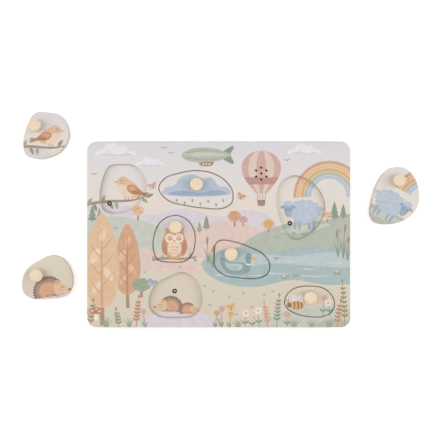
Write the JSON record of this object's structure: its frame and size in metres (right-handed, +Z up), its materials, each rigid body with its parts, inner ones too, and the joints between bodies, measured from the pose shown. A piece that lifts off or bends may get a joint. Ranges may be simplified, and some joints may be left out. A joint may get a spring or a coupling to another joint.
{
  "type": "wooden sound puzzle",
  "caption": "Flat wooden puzzle board with pebble-shaped recesses, knobbed lift-out pieces, a light sensor in each recess, and a speaker that sounds when a piece goes in.",
  "frame": {"origin": "middle of the board's back face, on the table", "axes": "+Z up out of the printed face, +X along the board's long side to the right as the puzzle is read, +Y along its short side to the top"},
  "size_m": [0.462, 0.2479, 0.037],
  "materials": {
    "printed_wood": "full-bleed printed picture, matt lacquer",
    "bare_wood": "sanded plywood",
    "beech": "turned beech, waxed",
    "black_plastic": "moulded, matt",
    "white_plastic": "moulded, matt",
    "steel": "zinc plated",
    "ferrite": "plain",
    "foam": "open foam",
    "film": "thin pressed film",
    "circuit": "solder resist",
    "cell_jacket": "plain jacket"
  },
  "bodies": {
    "board": {"face_panel": "printed_wood", "floor_panel": "printed_wood", "top_rail": "bare_wood", "bottom_rail": "bare_wood", "left_rail": "bare_wood", "right_rail": "bare_wood", "back_panel": "bare_wood", "battery_housing": "black_plastic", "switch_body": "black_plastic", "sound_chip": "black_plastic", "light_sensor_upper_left": "black_plastic", "light_sensor_lower_left": "black_plastic", "light_sensor_right": "black_plastic", "light_sensor_upper_middle": "black_plastic", "light_sensor_middle_left": "black_plastic", "light_sensor_middle": "black_plastic", "light_sensor_lower_right": "black_plastic", "contact_spring": "steel", "contact_plate": "steel", "contact_bridge": "steel", "speaker_basket": "steel", "back_screw_1": "steel", "back_screw_2": "steel", "back_screw_3": "steel", "back_screw_4": "steel", "back_screw_5": "steel", "back_screw_6": "steel", "back_screw_7": "steel", "back_screw_8": "steel", "housing_screw_1": "steel", "housing_screw_2": "steel", "circuit_screw_1": "steel", "circuit_screw_2": "steel", "speaker_magnet": "ferrite", "speaker_gasket": "foam", "speaker_cone": "film", "circuit_board": "circuit", "battery_cell_1": "cell_jacket", "battery_cell_2": "cell_jacket"},
    "piece_upper_left_body": {"piece_upper_left": "printed_wood", "knob_upper_left": "beech"},
    "piece_lower_left_body": {"piece_lower_left": "printed_wood", "knob_lower_left": "beech"},
    "piece_right_body": {"piece_right": "printed_wood", "knob_right": "beech"},
    "piece_upper_middle_body": {"piece_upper_middle": "printed_wood", "knob_upper_middle": "beech"},
    "piece_middle_left_body": {"piece_middle_left": "printed_wood", "knob_middle_left": "beech"},
    "piece_middle_body": {"piece_middle": "printed_wood", "knob_middle": "beech"},
    "piece_lower_right_body": {"piece_lower_right": "printed_wood", "knob_lower_right": "beech"},
    "door": {"battery_door": "black_plastic", "battery_door_screw": "steel"},
    "slider": {"switch_slider": "white_plastic"}
  },
  "joints": [
    {"name": "lift_upper_left", "type": "slide", "parent": "board", "child": "piece_upper_left_body", "axis": [0, 0, 1], "range_m": [0, 0.05]},
    {"name": "lift_lower_left", "type": "slide", "parent": "board", "child": "piece_lower_left_body", "axis": [0, 0, 1], "range_m": [0, 0.05]},
    {"name": "lift_right", "type": "slide", "parent": "board", "child": "piece_right_body", "axis": [0, 0, 1], "range_m": [0, 0.05]},
    {"name": "lift_upper_middle", "type": "slide", "parent": "board", "child": "piece_upper_middle_body", "axis": [0, 0, 1], "range_m": [0, 0.05]},
    {"name": "lift_middle_left", "type": "slide", "parent": "board", "child": "piece_middle_left_body", "axis": [0, 0, 1], "range_m": [0, 0.05]},
    {"name": "lift_middle", "type": "slide", "parent": "board", "child": "piece_middle_body", "axis": [0, 0, 1], "range_m": [0, 0.05]},
    {"name": "lift_lower_right", "type": "slide", "parent": "board", "child": "piece_lower_right_body", "axis": [0, 0, 1], "range_m": [0, 0.05]},
    {"name": "battery_door_hinge", "type": "hinge", "parent": "board", "child": "door", "pos_m": [-0.1035, -0.0729, 0.0002], "axis": [-1, 0, 0], "range_deg": [0, 75]},
    {"name": "switch_slide", "type": "slide", "parent": "board", "child": "slider", "axis": [1, 0, 0], "range_m": [0, 0.004]}
  ]
}
